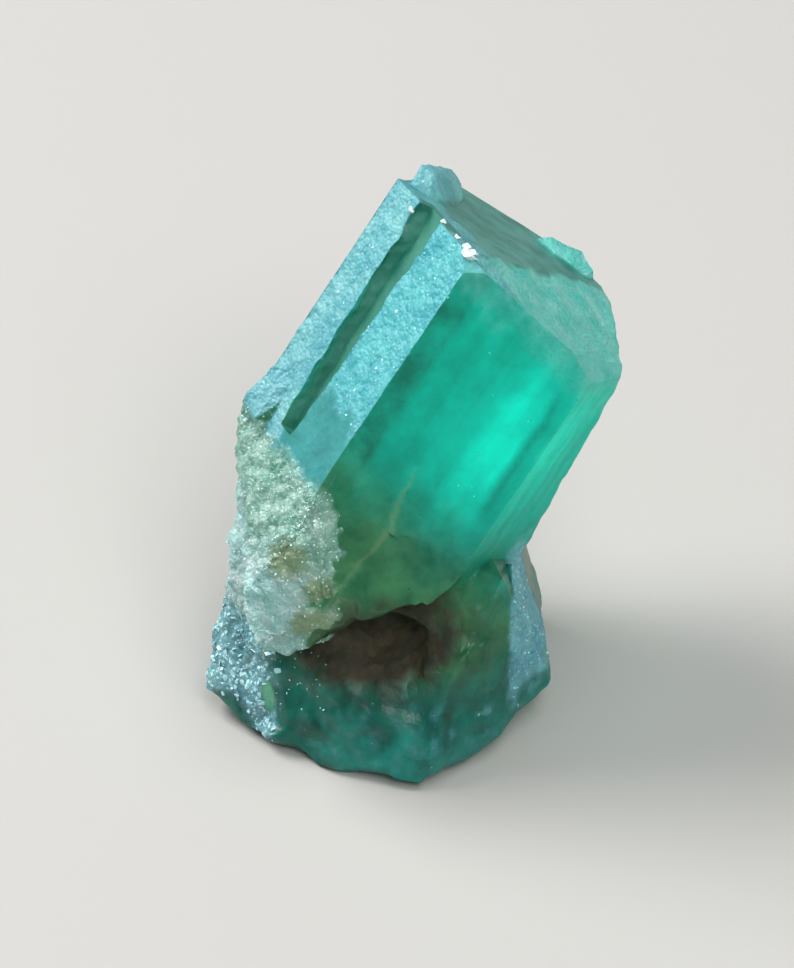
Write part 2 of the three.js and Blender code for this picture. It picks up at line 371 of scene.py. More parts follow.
behind_front = -beyond_face(in_prism, FRONT_FACE)
on_front = border(np.abs(behind_front), FRONT_DEPTH) * border(facing(FRONT_FACE), FRONT_FACING)
on_right = border(facing(RIGHT_FACE), RIGHT_FACING) * border(HEIGHT, RIGHT_FOOT) * (1 - on_end)
on_right *= border(behind_front, RIGHT_EDGE)
clear_side = np.clip(on_front + on_right, 0, 1)
side_faces = border(np.abs(prism_normals[:, 2]), SIDE_FACING) * (1 - near_left)
worn_front = WEAR_SHARE * clear_side * border(HEIGHT + 0.25 * ACROSS, WEAR_REACH, 1.1)
vein_line = np.interp(HEIGHT, VEIN_HEIGHTS, VEIN_PLACES) + 0.25 * coarse_rag + 0.08 * fine_rag
vein = VEIN_SHARE * on_front * border(np.abs(ACROSS - vein_line), VEIN_WIDTH) * border(HEIGHT, VEIN_FADE)
print("the clear faces cover", round(100 * float(clear_side.mean()), 1), "% of the points")

# %% [markdown]
# Light that enters behind scatters in the cloudy stone, so a bright patch with a dark streak beside it
# seems to glow inside the front face. Scattering in the volume is slow to render and is lost in an
# export. A weak emission with the patch's outline looks much the same, though it stays when the light
# changes.

# %% Masks of the inner glow
GLOW_SPOTS = [(1.6, 0.9, -5.0, 2.4, 1.0), (3.3, 0.5, -4.4, 1.8, 0.5)]
GLOW_FOOT = (-10.8, -6.0)
GLOW_TOP = (0.4, -1.6)
GLOW_SIDE = (-3.0, 1.6)
GLOW_RIGHT = (-1.0, -4.6)
GLOW_BASE = 0.2
GLOW_RISE = 0.12
SPOT_STRENGTH = 1.1
STREAK_ACROSS = 2.45
STREAK_WIDTH = 0.2
STREAK_FOOT = (-8.4, -7.0)
STREAK_TOP = (-1.6, -3.2)
STREAK_SHADE = 0.85

fades = border(HEIGHT, GLOW_FOOT, 0.5) * border(HEIGHT + 0.2 * across_end, GLOW_TOP, 0.5)
spots = np.zeros(count)
for across, wide, height, tall, strength in GLOW_SPOTS:
    spots += strength * np.exp(-((ACROSS - across) / wide) ** 2 - ((HEIGHT - height) / tall) ** 2)
streak_line = STREAK_ACROSS + 0.12 * coarse_rag
streak = np.exp(-((ACROSS - streak_line) / STREAK_WIDTH) ** 2)
streak *= border(HEIGHT, STREAK_FOOT) * border(HEIGHT, STREAK_TOP)
inner_light = fades * (GLOW_BASE + GLOW_RISE * border(ACROSS, GLOW_SIDE)) + SPOT_STRENGTH * spots
glow = clear_side * inner_light * (1 - STREAK_SHADE * streak)
glow += GLOW_BASE * on_right * fades * border(DEEP, GLOW_RIGHT)
print("the strongest glow is", round(float(glow.max()), 2))

# %% [markdown]
# Crust sits on the lower left of the prism's foot: lumps of tiny crystals, paler at the left, with a few
# rusty stains. Below it is a patch of glittering mica with stray plates beside it and one green facet.

# %% Masks of the crust and the mica
CRUST_SLANT = 0.27
CRUST_SLANT_TOP = 8.2
CRUST_RIGHT = (-2.2, -2.5)
CRUST_BACK = (10.3, 9.3)
CRUST_FOOT = (3.9, 4.4)
PALE_TOP = (9.0, 7.4)
PALE_RIGHT = (-3.0, -4.2)
RUST_PATCHES = [(-4.0, 2.1, 8.5, 0.8), (-3.2, 1.4, 6.1, 0.9), (-2.75, 1.7, 7.2, 0.8)]
RUST_BORDER = (1.2, 0.5)
RUST_SHARE = 0.8
GREEN_FACET = (-4.85, 2.5, 1.85)
GREEN_FACET_REACH = (0.24, 0.8, 0.6)
FACET_BORDER = (1.2, 0.8)
MICA_RIGHT = (-4.4, -5.0)
MICA_TOP = (4.4, 3.9)
MICA_BACK = (8.6, 7.6)
MICA_FOOT = (0.6, 1.1)
STRAY_RIGHT = (-2.2, -3.0)
STRAY_FOOT = (1.6, 2.6)
STRAY_TOP = (4.4, 3.8)
STRAY_BACK = (4.0, 3.4)

below = border(HEIGHT, BROKEN_TOP, 0.6)
crust_edge = X + CRUST_SLANT * np.maximum(CRUST_SLANT_TOP - Z, 0)
crust = below * border(crust_edge + 0.9 * coarse_rag, CRUST_RIGHT, 0.4, fine_rag)
crust *= border(Y, CRUST_BACK, 2.2, wander) * border(Z, CRUST_FOOT, 0.5)
pale_crust = crust * border(Z, PALE_TOP, 0.8) * border(X, PALE_RIGHT, 0.6)
from_rust = np.min([from_place(middle, reach) for *middle, reach in RUST_PATCHES], axis=0)
rust = RUST_SHARE * crust * border(from_rust, RUST_BORDER, 0.5)
green_facet = border(from_place(GREEN_FACET, GREEN_FACET_REACH), FACET_BORDER, 0.3)
mica = below * border(X, MICA_RIGHT, 0.7) * border(Z, MICA_TOP, 0.5) * (1 - green_facet)
mica *= border(Y, MICA_BACK, 2.2, wander) * border(Z, MICA_FOOT, 0.9, wander)
stray_mica = below * border(X, STRAY_RIGHT, 0.5) * border(Y, STRAY_BACK) * (1 - green_facet)
stray_mica *= border(Z, STRAY_FOOT) * border(Z, STRAY_TOP)
print("crust covers", round(100 * float(crust.mean()), 1), "% of the points")

# %% [markdown]
# The stump is broken stone: a brown hollow under the prism, a frosted flake standing at the right, and
# pale specks low on the front. Each is a distance or a box in the toe's frame, with a ragged border.

# %% Masks of the stump
HOLLOW_MIDDLE = (-0.8, 2.6, 4.6)
HOLLOW_REACH = (2.9, 1.7, 2.0)
HOLLOW_BORDER = (1.5, 0.8)
FLAKE_FRONT = (3.9, 4.1)
FLAKE_BACK = (6.6, 5.8)
FLAKE_FOOT = (1.9, 2.7)
FLAKE_TOP = (7.2, 6.8)
FLAKE_UNDER_PRISM = (-7.6, -8.2)
SPECKS_BACK = (4.5, 3.0)
SPECKS_FOOT = (0.4, 0.9)
SPECKS_TOP = (3.6, 2.4)
SPECKS_LEFT = (-4.0, -3.0)
SPECKS_BORDER = (0.1, 0.55)
SMUDGE_LEFT = (0.4, 2.0)
SMUDGE_TOP = (3.6, 2.9)
SMUDGE_FOOT = (1.0, 1.7)
SPECK_SHARE = 0.14
SMUDGE_SHARE = 0.32

stain = below * (1 - crust) * border(from_place(HOLLOW_MIDDLE, HOLLOW_REACH), HOLLOW_BORDER, 0.45)
flake = border(X, FLAKE_FRONT, 0.25) * border(Y, FLAKE_BACK, 2.2, wander)
flake *= border(Z, FLAKE_FOOT, 1.3, wander) * border(Z, FLAKE_TOP, 0.5) * border(HEIGHT, FLAKE_UNDER_PRISM)
low_front = border(Y, SPECKS_BACK) * border(Z, SPECKS_FOOT) * border(Z, SPECKS_TOP) * border(X, SPECKS_LEFT)
smudged = border(X, SMUDGE_LEFT) * border(Z, SMUDGE_TOP) * border(Z, SMUDGE_FOOT)
speckled = below * low_front * border(lumps(0.5, 21.0), SPECKS_BORDER, 0.5, fine_rag)
speckled *= SPECK_SHARE + SMUDGE_SHARE * smudged
print("the brown hollow covers", round(100 * float(stain.mean()), 1), "% of the points")

# %% [markdown]
# The parts are now put together into one mask for each finish. Some finishes only tint a part of another,
# such as the cyan strip of the frost, so they are shares of its mask.

# %% One mask for each finish
CLEAR_FOOT = (-12.5, -8.0)
PAINTED_GLOW_SIDE = (-2.8, 2.2)
PAINTED_GLOW_FOOT = (-11.5, -7.0)
SATIN_FOOT = (-11.5, -9.5)
OLIVE_TOP = (-7.2, -11.6)
OLIVE_FOOT = (2.6, 5.0)
RIM_TOP = (2.6, 1.0)
RIM_LEFT = (-3.4, -2.0)
PAINTED_GLOW_STREAK = 0.6
CLOUDY_SHARE = 0.4
GLOW_SPOT_LIGHTENING = 0.7
END_RIM_FROST = 0.6
STEP_FROST = 0.8
CYAN_SHARE = 0.6

# Painted light: the clear faces are painted a lighter green towards the side where light shining through
# seems to glow, and above their foot. The dark streak stays darker.
painted_glow_tint = clear_side * border(ACROSS, PAINTED_GLOW_SIDE, 0.5) * border(HEIGHT, PAINTED_GLOW_FOOT)
painted_glow_tint *= 1 - PAINTED_GLOW_STREAK * streak
olive = border(HEIGHT + 0.1 * ACROSS, OLIVE_TOP, 0.6) * border(Z, OLIVE_FOOT, 0.8) * (1 - on_left)
frost = frosted_left + END_RIM_FROST * end_rim + STEP_FROST * raised_step + flake + speckled
masks = {
    "clear": side_faces * border(HEIGHT, CLEAR_FOOT, 0.7),
    "painted_glow_tint": painted_glow_tint,
    # cloudy: real clouding of the clear faces, thinned over the glow spots so that they are painted lighter,
    # which is painted light
    "cloudy": CLOUDY_SHARE * clear_side * (1 - GLOW_SPOT_LIGHTENING * np.clip(spots, 0, 1)),
    "satin": on_right * border(HEIGHT, SATIN_FOOT),
    "teal": on_left * (1 - frosted_left) * (1 - groove),
    "olive": olive,
    "rim": below * border(Z, RIM_TOP, 0.6) * border(X, RIM_LEFT, 0.6),
    "green facet": green_facet,
    "stain": stain,
    "worn": np.clip(on_end * worn_share + raised_knob + worn_front, 0, 1),
    "dull": on_end * (1 - worn_share) * (1 - raised_knob),
    "vein": vein,
    "groove": groove,
    "frost": np.clip(frost, 0, 1),
    "cyan frost": CYAN_SHARE * frosted_left * front_strip,
    "crust": crust,
    "pale crust": pale_crust,
    "rust": rust,
    "mica": mica,
    "glow": glow,
}
for name, mask in masks.items():
    mesh.attributes.new(name, "FLOAT", "POINT").data.foreach_set("value", mask.astype(np.float32))
    print(name, "covers", round(100 * float(mask.mean()), 1), "% of the points")

# %% [markdown]
# Relief comes next: sugar-like grain on the frost, lumpy grains on the crust, shallow scoops on the worn
# end and on broken stone. A displacement in the material would not reach the mesh, so the points
# themselves move along their normals. Each row is a mask, a pattern, its height, its size and its seed.
# Grains only add height, so the parts that have them are also sunk a little.

# %% Fine relief
CRUST_RIM_HEIGHT = 0.3
CRUST_RIM = (-2.2, -3.2)
RIGHT_INSIDE = (0.1, 1.0)
ABOVE_SOLE = (0.05, 0.4)

crust_grain = crust * (CRUST_RIM_HEIGHT + (1 - CRUST_RIM_HEIGHT) * border(crust_edge, CRUST_RIM))
right_inside = on_right * border(behind_front, RIGHT_INSIDE)
broken_stone = below * (1 - crust) * (1 - mica) * border(Z, ABOVE_SOLE) * (1 - on_front)
RELIEF = [
    (masks["frost"], lumps, 0.06, 0.6, 11.3),
    (masks["frost"], lumps, 0.05, 0.24, 5.9),
    (crust_grain, granules, 0.34, 0.7, 2.2),
    (crust_grain, granules, 0.14, 0.3, 8.4),
    (stain, granules, 0.09, 0.45, 19.7),
    (mica, granules, 0.16, 0.4, 6.1),
    (masks["worn"], lumps, 0.07, 1.1, 9.2),
    (masks["worn"], lumps, 0.035, 0.4, 4.4),
    (right_inside, lumps, 0.05, 0.7, 17.3),
    (right_inside, lumps, 0.02, 0.3, 18.9),
    (masks["dull"], lumps, 0.015, 0.6, 1.7),
    (broken_stone, granules, 0.13, 1.1, 12.5),
    (broken_stone, lumps, 0.05, 0.5, 13.1),
]
SUNK_PARTS = [(crust_grain, 0.2), (mica, 0.06), (broken_stone, 0.06)]

relief = np.zeros(count)
for mask, pattern, height, size, seed in RELIEF:
    relief += height * mask * pattern(size, seed, mask)
for mask, depth in SUNK_PARTS:
    relief -= depth * mask
print("the relief runs from", round(float(relief.min()), 2), "to", round(float(relief.max()), 2), "mm")

# %% [markdown]
# Two edges of the solid are too straight for a stone: the groove's sides and the broken lower end of the
# prism. Moving points along their normals can't bend an edge, so these points slide in the face instead,
# across the groove or along the prism. The sole stays flat.

# %% Wandering edges
GROOVE_BACK_REACH = (1.0, 1.5)
GROOVE_FRONT_REACH = (4.3, 3.8)
LEDGE_DEPTH = (1.6, 0.5)
LEDGE_FOOT = (3.2, 4.4)
GROOVE_WAVES = [(0.16, 0.9, 15.2), (0.05, 0.3, 16.4)]
LEDGE_WAVES = [(0.6, 1.2, 23.0), (0.22, 0.45, 24.6)]


def waves(rows, mask):
    """Noise of several heights, sizes and seeds, added up within a mask."""
    return mask * sum(height * lumps(size, seed, mask) for height, size, seed in rows)


by_groove = near_left * border(along_left, GROOVE_BACK_REACH) * border(along_left, GROOVE_FRONT_REACH)
sideways = waves(GROOVE_WAVES, by_groove)
ledge = below * border(behind_front, LEDGE_DEPTH) * border(Z, LEDGE_FOOT) * (1 - crust)
along_axis = waves(LEDGE_WAVES, ledge)
left_face_way = Vector((math.cos(SIXTH_TURN), -math.sin(SIXTH_TURN), 0))
across_groove = np.array(prism_frame.to_3x3() @ left_face_way)
axis_way = np.array(prism_frame.col[2][:3])

moved = places + normals * relief[:, None]
moved += across_groove * sideways[:, None]
moved += axis_way * along_axis[:, None]
moved[Z < SOLE] = places[Z < SOLE]
moved[:, 2] = np.maximum(moved[:, 2], 0)
mesh.vertices.foreach_set("co", ((moved + np.array(TOE)) * MM).ravel())
mesh.update()
print("the ledge wanders by up to", round(float(np.abs(along_axis).max()), 2), "mm")

# %% [markdown]
# Three patterns are used again and again, so each is a node group with a Scale and one or two results.
# Sugar is the look of frost and crust: it gives every tiny crystal its own tone and a rounded height, and
# soft patches keep the tones from looking like salt and pepper.

# %% Sugar pattern
PATCH_SCALE = 900
PATCH_DETAIL = 5
PATCH_ROUGHNESS = 0.65
PATCH_RANGE = (0.3, 0.7)
CRYSTAL_SHARE = 0.25
CRYSTAL_ROUNDING = (0.8, 0.0)


def new_group(name, outputs):
    group = bpy.data.node_groups.new(name, "ShaderNodeTree")
    group.interface.new_socket("Scale", in_out="INPUT", socket_type="NodeSocketFloat")
    for output in outputs:
        group.interface.new_socket(output, in_out="OUTPUT", socket_type="NodeSocketFloat")
    return group, group.nodes.new("NodeGroupInput"), group.nodes.new("NodeGroupOutput")


def spread(group, value, low, high):
    """A node that spreads the values between low and high over 0 to 1."""
    node = group.nodes.new("ShaderNodeMapRange")
    node.inputs["From Min"].default_value = low
    node.inputs["From Max"].default_value = high
    group.links.new(value, node.inputs["Value"])
    return node.outputs["Result"]


def sugar_group():
    group, inputs, outputs = new_group("sugar", ["Tone", "Height"])
    place = group.nodes.new("ShaderNodeTexCoord")
    cells = group.nodes.new("ShaderNodeTexVoronoi")
    group.links.new(place.outputs["Object"], cells.inputs["Vector"])
    group.links.new(inputs.outputs["Scale"], cells.inputs["Scale"])
    cell_tone = group.nodes.new("ShaderNodeSeparateColor")
    group.links.new(cells.outputs["Color"], cell_tone.inputs["Color"])
    patches = group.nodes.new("ShaderNodeTexNoise")
    patches.inputs["Scale"].default_value = PATCH_SCALE
    patches.inputs["Detail"].default_value = PATCH_DETAIL
    patches.inputs["Roughness"].default_value = PATCH_ROUGHNESS
    group.links.new(place.outputs["Object"], patches.inputs["Vector"])
    tone = group.nodes.new("ShaderNodeMix")
    tone.inputs["Factor"].default_value = CRYSTAL_SHARE
    group.links.new(spread(group, patches.outputs["Fac"], *PATCH_RANGE), tone.inputs["A"])
    group.links.new(cell_tone.outputs["Red"], tone.inputs["B"])
    group.links.new(tone.outputs["Result"], outputs.inputs["Tone"])
    rounded = spread(group, cells.outputs["Distance"], *CRYSTAL_ROUNDING)
    group.links.new(rounded, outputs.inputs["Height"])
    return group


PATTERNS = {"sugar": sugar_group()}
print("made the sugar pattern")

# %% [markdown]
# Clouds are the soft patches in clear and broken stone. Growth lines are the fine streaks that a crystal
# keeps from growing along its axis: the same noise, turned into the prism's frame and drawn out ten times.

# %% Clouds and growth lines
CLOUD_DETAIL = 4
CLOUD_ROUGHNESS = 0.6
CLOUD_RANGE = (0.32, 0.68)
LINE_DETAIL = 3
LINE_STRETCH = (1, 1, 0.1)
LINE_RANGE = (0.3, 0.7)


def clouds_group():
    group, inputs, outputs = new_group("clouds", ["Tone"])
    place = group.nodes.new("ShaderNodeTexCoord")
    cloud = group.nodes.new("ShaderNodeTexNoise")
    cloud.inputs["Detail"].default_value = CLOUD_DETAIL
    cloud.inputs["Roughness"].default_value = CLOUD_ROUGHNESS
    group.links.new(place.outputs["Object"], cloud.inputs["Vector"])
    group.links.new(inputs.outputs["Scale"], cloud.inputs["Scale"])
    group.links.new(spread(group, cloud.outputs["Fac"], *CLOUD_RANGE), outputs.inputs["Tone"])
    return group


def growth_lines_group():
    group, inputs, outputs = new_group("growth_lines", ["Tone"])
    place = group.nodes.new("ShaderNodeTexCoord")
    turned = group.nodes.new("ShaderNodeVectorRotate")
    turned.rotation_type = "EULER_XYZ"
    turned.inputs["Rotation"].default_value = prism_frame.to_3x3().inverted().to_euler()
    group.links.new(place.outputs["Object"], turned.inputs["Vector"])
    drawn_out = group.nodes.new("ShaderNodeMapping")
    drawn_out.inputs["Scale"].default_value = LINE_STRETCH
    group.links.new(turned.outputs["Vector"], drawn_out.inputs["Vector"])
    lines = group.nodes.new("ShaderNodeTexNoise")
    lines.inputs["Detail"].default_value = LINE_DETAIL
    group.links.new(drawn_out.outputs["Vector"], lines.inputs["Vector"])
    group.links.new(inputs.outputs["Scale"], lines.inputs["Scale"])
    group.links.new(spread(group, lines.outputs["Fac"], *LINE_RANGE), outputs.inputs["Tone"])
    return group


PATTERNS["clouds"] = clouds_group()
PATTERNS["growth lines"] = growth_lines_group()
print("made the patterns", ", ".join(PATTERNS))

# %% [markdown]
# Every material here mixes colours and values by patterns and masks. A small class holds the material's
# node tree and adds those nodes, so that each material can be written in a few plain lines.

# %% Helper for materials
PATTERN_SCALE = {"sugar": 6500, "clouds": 900, "growth lines": 1500}


class Finisher:
    """Adds nodes to one material: patterns once each, and mixes of colours and values."""

    def __init__(self, name):
        self.material = bpy.data.materials.new(name)
        self.material.use_nodes = True
        self.nodes = self.material.node_tree.nodes
        self.links = self.material.node_tree.links
        self.shader = self.nodes["Principled BSDF"]
        self.patterns = {}

    def pattern(self, name, output="Tone"):
        if name not in self.patterns:
            node = self.nodes.new("ShaderNodeGroup")
            node.node_tree = PATTERNS[name]
            node.inputs["Scale"].default_value = PATTERN_SCALE[name]
            self.patterns[name] = node
        return self.patterns[name].outputs[output]

    def attribute(self, name, output="Fac"):
        node = self.nodes.new("ShaderNodeAttribute")
        node.attribute_name = name
        return node.outputs[output]

    def mix(self, factor, first, second, kind="RGBA"):
        """A mix node; first and second are sockets, colours or numbers."""
        node = self.nodes.new("ShaderNodeMix")
        node.data_type = kind
        sockets = [socket for socket in node.inputs if socket.enabled]
        self.links.new(factor, sockets[0])
        for value, socket in zip((first, second), sockets[1:]):
            if isinstance(value, bpy.types.NodeSocket):
                self.links.new(value, socket)
            else:
                socket.default_value = (*value, 1) if kind == "RGBA" else value
        return next(socket for socket in node.outputs if socket.enabled)

    def math(self, operation, first, second):
        node = self.nodes.new("ShaderNodeMath")
        node.operation = operation
        self.links.new(first, node.inputs[0])
        self.links.new(second, node.inputs[1])
        return node.outputs["Value"]

    def bump(self, height, distance):
        node = self.nodes.new("ShaderNodeBump")
        node.inputs["Distance"].default_value = distance
        self.links.new(height, node.inputs["Height"])
        self.links.new(node.outputs["Normal"], self.shader.inputs["Normal"])


print("materials can use", len(PATTERN_SCALE), "patterns")

# %% [markdown]
# The stone is one clear mineral all through, so its transmission, index of refraction and absorption are
# plain values, and one material covers it. Several clear materials on one closed skin would upset the
# absorption inside. Only colour and roughness change with the masks: each finish is laid over the one
# before. A row is a mask, a darker and a lighter tint, a roughness, and the pattern that mixes the tints.

# %% Finishes of the emerald
BODY = ("body", (0.0, 0.10, 0.07), (0.0, 0.33, 0.24), 0.36, "clouds")
FINISHES = [
    ("clear", (0.0, 0.46, 0.34), (0.0, 0.66, 0.51), 0.22, "growth lines"),
    # painted light: lighter greens where the clear faces seem to glow
    ("painted_glow_tint", (0.0, 0.60, 0.48), (0.0, 0.80, 0.66), 0.22, "growth lines"),
    ("cloudy", (0.0, 0.20, 0.15), (0.0, 0.66, 0.53), 0.24, "clouds"),
    ("satin", (0.0, 0.50, 0.40), (0.0, 0.66, 0.54), 0.7, "growth lines"),
    ("teal", (0.0, 0.34, 0.32), (0.0, 0.52, 0.52), 0.55, "clouds"),
    ("olive", (0.01, 0.20, 0.08), (0.10, 0.40, 0.16), 0.35, "clouds"),
    ("rim", (0.0, 0.22, 0.17), (0.02, 0.50, 0.40), 0.4, "clouds"),
    ("stain", (0.02, 0.024, 0.008), (0.10, 0.075, 0.03), 0.75, "clouds"),
    ("worn", (0.03, 0.72, 0.62), (0.42, 1.0, 0.96), 0.5, "sugar"),
    ("dull", (0.01, 0.22, 0.19), (0.10, 0.46, 0.40), 0.45, "clouds"),
    ("vein", (0.20, 0.46, 0.22), (0.42, 0.66, 0.36), 0.4, "clouds"),
    ("groove", (0.03, 0.26, 0.19), (0.09, 0.40, 0.31), 0.65, "clouds"),
    ("frost", (0.06, 0.48, 0.66), (0.42, 0.95, 1.0), 0.5, "sugar"),
    ("cyan frost", (0.0, 0.46, 0.60), (0.14, 0.92, 1.0), 0.5, "sugar"),
    ("crust", (0.10, 0.42, 0.30), (0.72, 1.0, 0.90), 0.4, "sugar"),
    ("pale crust", (0.42, 0.97, 0.94), (0.90, 1.0, 1.0), 0.4, "sugar"),
    ("rust", (0.20, 0.27, 0.10), (0.45, 0.58, 0.28), 0.45, "sugar"),
    ("mica", (0.10, 0.42, 0.54), (0.52, 0.98, 1.0), 0.3, "sugar"),
    ("green facet", (0.10, 0.85, 0.45), (0.35, 1.0, 0.66), 0.2, "clouds"),
]
GRAINY = ["frost", "crust", "mica", "worn"]
GRAIN_HEIGHT = 0.035 * MM


def lay_finishes(finish):
    """Links the colour, the roughness and the grain of all the finishes to the shader."""
    _, dark, light, rough, pattern = BODY
    colour = finish.mix(finish.pattern(pattern), dark, light)
    for name, dark, light, roughness, pattern in FINISHES:
        mask = finish.attribute(name)
        colour = finish.mix(mask, colour, finish.mix(finish.pattern(pattern), dark, light))
        rough = finish.mix(mask, rough, roughness, "FLOAT")
    finish.links.new(colour, finish.shader.inputs["Base Color"])
    finish.links.new(rough, finish.shader.inputs["Roughness"])
    grain = finish.attribute(GRAINY[0])
    for name in GRAINY[1:]:
        grain = finish.math("ADD", grain, finish.attribute(name))
    finish.bump(finish.math("MULTIPLY", finish.pattern("sugar", "Height"), grain), GRAIN_HEIGHT)


print("the emerald has", len(FINISHES), "finishes")

# %% [markdown]
# Now the stone itself. Beryl's index of refraction is 1.58. This stone is cloudy, so only a part of the
# light passes through, and what passes turns green on the way. The gloss is kept low, because reflections
# of the pale floor would otherwise wash the colour out. The glow follows the clouds and the growth lines.

# %% Emerald material
BERYL_INDEX = 1.58
CLARITY = 0.55
GLOSS = 0.25
KEPT_LIGHT = (0.0, 0.88, 0.80, 1)
ABSORPTION = 250
GLOW_COLOUR = (0.0, 0.42, 0.28)
GLOW_IN_LINES = (0.7, 1.05)
GLOW_IN_CLOUDS = (0.72, 1.05)


def emerald_material():
    finish = Finisher("emerald")
    shader = finish.shader
    shader.inputs["IOR"].default_value = BERYL_INDEX
    shader.inputs["Transmission Weight"].default_value = CLARITY
    shader.inputs["Specular IOR Level"].default_value = GLOSS
    lay_finishes(finish)
    streaked = finish.mix(finish.pattern("growth lines"), *GLOW_IN_LINES, "FLOAT")
    clouded = finish.mix(finish.pattern("clouds"), *GLOW_IN_CLOUDS, "FLOAT")
    glow = finish.math("MULTIPLY", finish.math("MULTIPLY", finish.attribute("glow"), streaked), clouded)
    finish.links.new(finish.mix(glow, (0, 0, 0), GLOW_COLOUR), shader.inputs["Emission Color"])
    shader.inputs["Emission Strength"].default_value = 1.0
    absorption = finish.nodes.new("ShaderNodeVolumeAbsorption")
    absorption.inputs["Color"].default_value = KEPT_LIGHT
    absorption.inputs["Density"].default_value = ABSORPTION
    finish.links.new(absorption.outputs[0], finish.nodes["Material Output"].inputs["Volume"])
    finish.material.cycles.emission_sampling = "NONE"
    return finish.material


mesh.materials.clear()
mesh.materials.append(emerald_material())
print("the emerald's index of refraction is", BERYL_INDEX)

# %% [markdown]
# Crust, frost and mica glitter because each is made of thousands of tiny crystals with flat faces. Noise in
# a material can't catch the light in that way, and hair or instances would be lost in an export. So small
# crystals are scattered over the masks and joined into one mesh. Their places come from the triangles of
# the skin: the larger a triangle and the stronger its mask, the more often it is chosen.

# %% Scatter tiny crystals
SEED = 11
TOWARDS_LIGHT = 0.7

random_numbers = np.random.default_rng(SEED)
corner_list = np.empty(len(mesh.polygons) * 3, int)
mesh.polygons.foreach_get("vertices", corner_list)
triangles = corner_list.reshape(-1, 3)
tips = moved[triangles]
crosses = np.cross(tips[:, 1] - tips[:, 0], tips[:, 2] - tips[:, 0])
areas = np.linalg.norm(crosses, axis=1) / 2


def scatter(mask, number):
    """Places and normals on the stone, from the toe, more of them where the mask is strong."""
    weight = areas * mask[triangles].mean(axis=1)
    chosen = random_numbers.choice(len(triangles), number, p=weight / weight.sum())
    shares = random_numbers.dirichlet((1, 1, 1), number)
    return (tips[chosen] * shares[:, :, None]).sum(axis=1), crosses[chosen] / (2 * areas[chosen, None])


def tints_between(dark, light, number):
    """Colours between a dark and a light tint, more of them light."""
    share = random_numbers.uniform(0, 1, (number, 1)) ** TOWARDS_LIGHT
    return np.array(dark) * (1 - share) + np.array(light) * share


def scatter_kinds(kinds, sunk):
    """Middles, sizes, tints and normals of crystals, sunk into the stone by a share of their size."""
    rows = []
    for mask, number, small, large, dark, light in kinds:
        found, outward = scatter(mask, number)
        size = random_numbers.uniform(small, large, number)
        middle = found - outward * size[:, None] * sunk
        rows.append((middle, size, tints_between(dark, light, number), outward))
    return [np.concatenate(column) for column in zip(*rows)]


print("the stone's skin measures", round(float(areas.sum())), "square millimetres")

# %% [markdown]
# A crystal is an icosphere of twenty faces whose corners are pulled in and out, which makes an angular chip.
# A few such shapes, turned and sized differently, are enough for thousands. Chips lie any way round, and
# plates lie nearly along the surface. The tint of each is kept as a colour attribute, so that one material
# serves all crystals of a kind.

# %% Join crystals into one mesh
CHIP_SHAPES = 6
CORNER_PULL = (0.45, 1.3)
SIDE_STRETCH = (0.6, 1.2)
PLATE_LEAN = 0.45


def angular_chip():
    """Corners and faces of one angular chip about 1 across."""
    form = bmesh.new()
    bmesh.ops.create_icosphere(form, subdivisions=1, radius=0.5)
    corners = np.array([vert.co[:] for vert in form.verts])
    pulls = random_numbers.uniform(*CORNER_PULL, (len(corners), 1))
    corners *= pulls * random_numbers.uniform(*SIDE_STRETCH, 3)
    faces = np.array([[vert.index for vert in face.verts] for face in form.faces])
    form.free()
    return corners, faces


def turns(number):
    """Random rotation matrices."""
    found, _ = np.linalg.qr(random_numbers.normal(size=(number, 3, 3)))
    return found * np.linalg.det(found)[:, None, None]


def joined_chips(name, middles, sizes, tints, flatness, leaning=None):
    """One mesh of many chips; flatness below 1 makes plates, which lie along the given normals."""
    corner_parts = []
    face_parts = []
    shapes = [angular_chip() for _ in range(CHIP_SHAPES)]
    rotations = turns(len(middles))
    for index, (middle, size) in enumerate(zip(middles, sizes)):
        corners, faces = shapes[index % CHIP_SHAPES]
        turn = rotations[index]
        if leaning is not None:
            lean = Vector(leaning[index]) + Vector(random_numbers.normal(0, PLATE_LEAN, 3))
            turn = np.array(lean.to_track_quat("Z", "Y").to_matrix())
        face_parts.append(faces + len(corners) * index)
        corner_parts.append(middle + corners * np.array((1, 1, flatness)) @ turn.T * size)
    chips = bpy.data.meshes.new(name)
    corners = (np.concatenate(corner_parts) + np.array(TOE)) * MM
    chips.from_pydata(corners.tolist(), [], np.concatenate(face_parts).tolist())
    colours = np.column_stack((tints, np.ones(len(tints)))).astype(np.float32)
    colours = np.repeat(colours, len(shapes[0][0]), axis=0)
    chips.attributes.new("tint", "FLOAT_COLOR", "POINT").data.foreach_set("color", colours.ravel())
    piece = bpy.data.objects.new(name, chips)
    scene.collection.objects.link(piece)
    print(name, "has", len(middles), "crystals")
    return piece


print("each kind of crystal has", CHIP_SHAPES, "shapes")

# %% [markdown]
# Sugar chips stand on the crust and the frost, with a few specks on the clear face and the stump. A row is
# a mask, a number, the smallest and the largest size, and two tints. Six larger white chips sit near the
# rim where the left face meets the end. Their rows are places in the prism's frame and a size.

